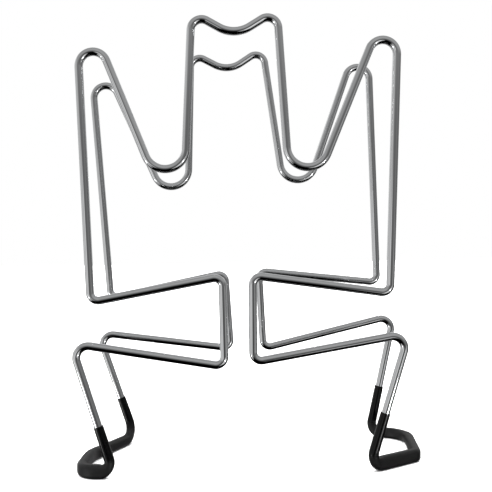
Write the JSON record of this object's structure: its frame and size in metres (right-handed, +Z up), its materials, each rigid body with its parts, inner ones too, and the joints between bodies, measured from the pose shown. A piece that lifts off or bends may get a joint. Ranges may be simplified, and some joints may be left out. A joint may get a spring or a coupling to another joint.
{
  "type": "photo album stand",
  "caption": "Freestanding chromed wire stand with two crown-shaped frames, one behind the other, joined by sleeved foot loops; albums stand in the gap between the frames.",
  "frame": {"origin": "on the ground under the middle of the whole stand", "axes": "+Z up, -Y towards the front frame, +X to the right seen from the front"},
  "size_m": [0.2204, 0.0936, 0.275],
  "materials": {
    "chrome_wire": "polished chrome plate on bent steel wire",
    "black_sleeve": "semi-gloss soft vinyl sleeve"
  },
  "bodies": {
    "root": {"front_wire_frame": "chrome_wire", "rear_wire_frame": "chrome_wire", "left_foot_sleeve": "black_sleeve", "right_foot_sleeve": "black_sleeve"}
  },
  "joints": []
}
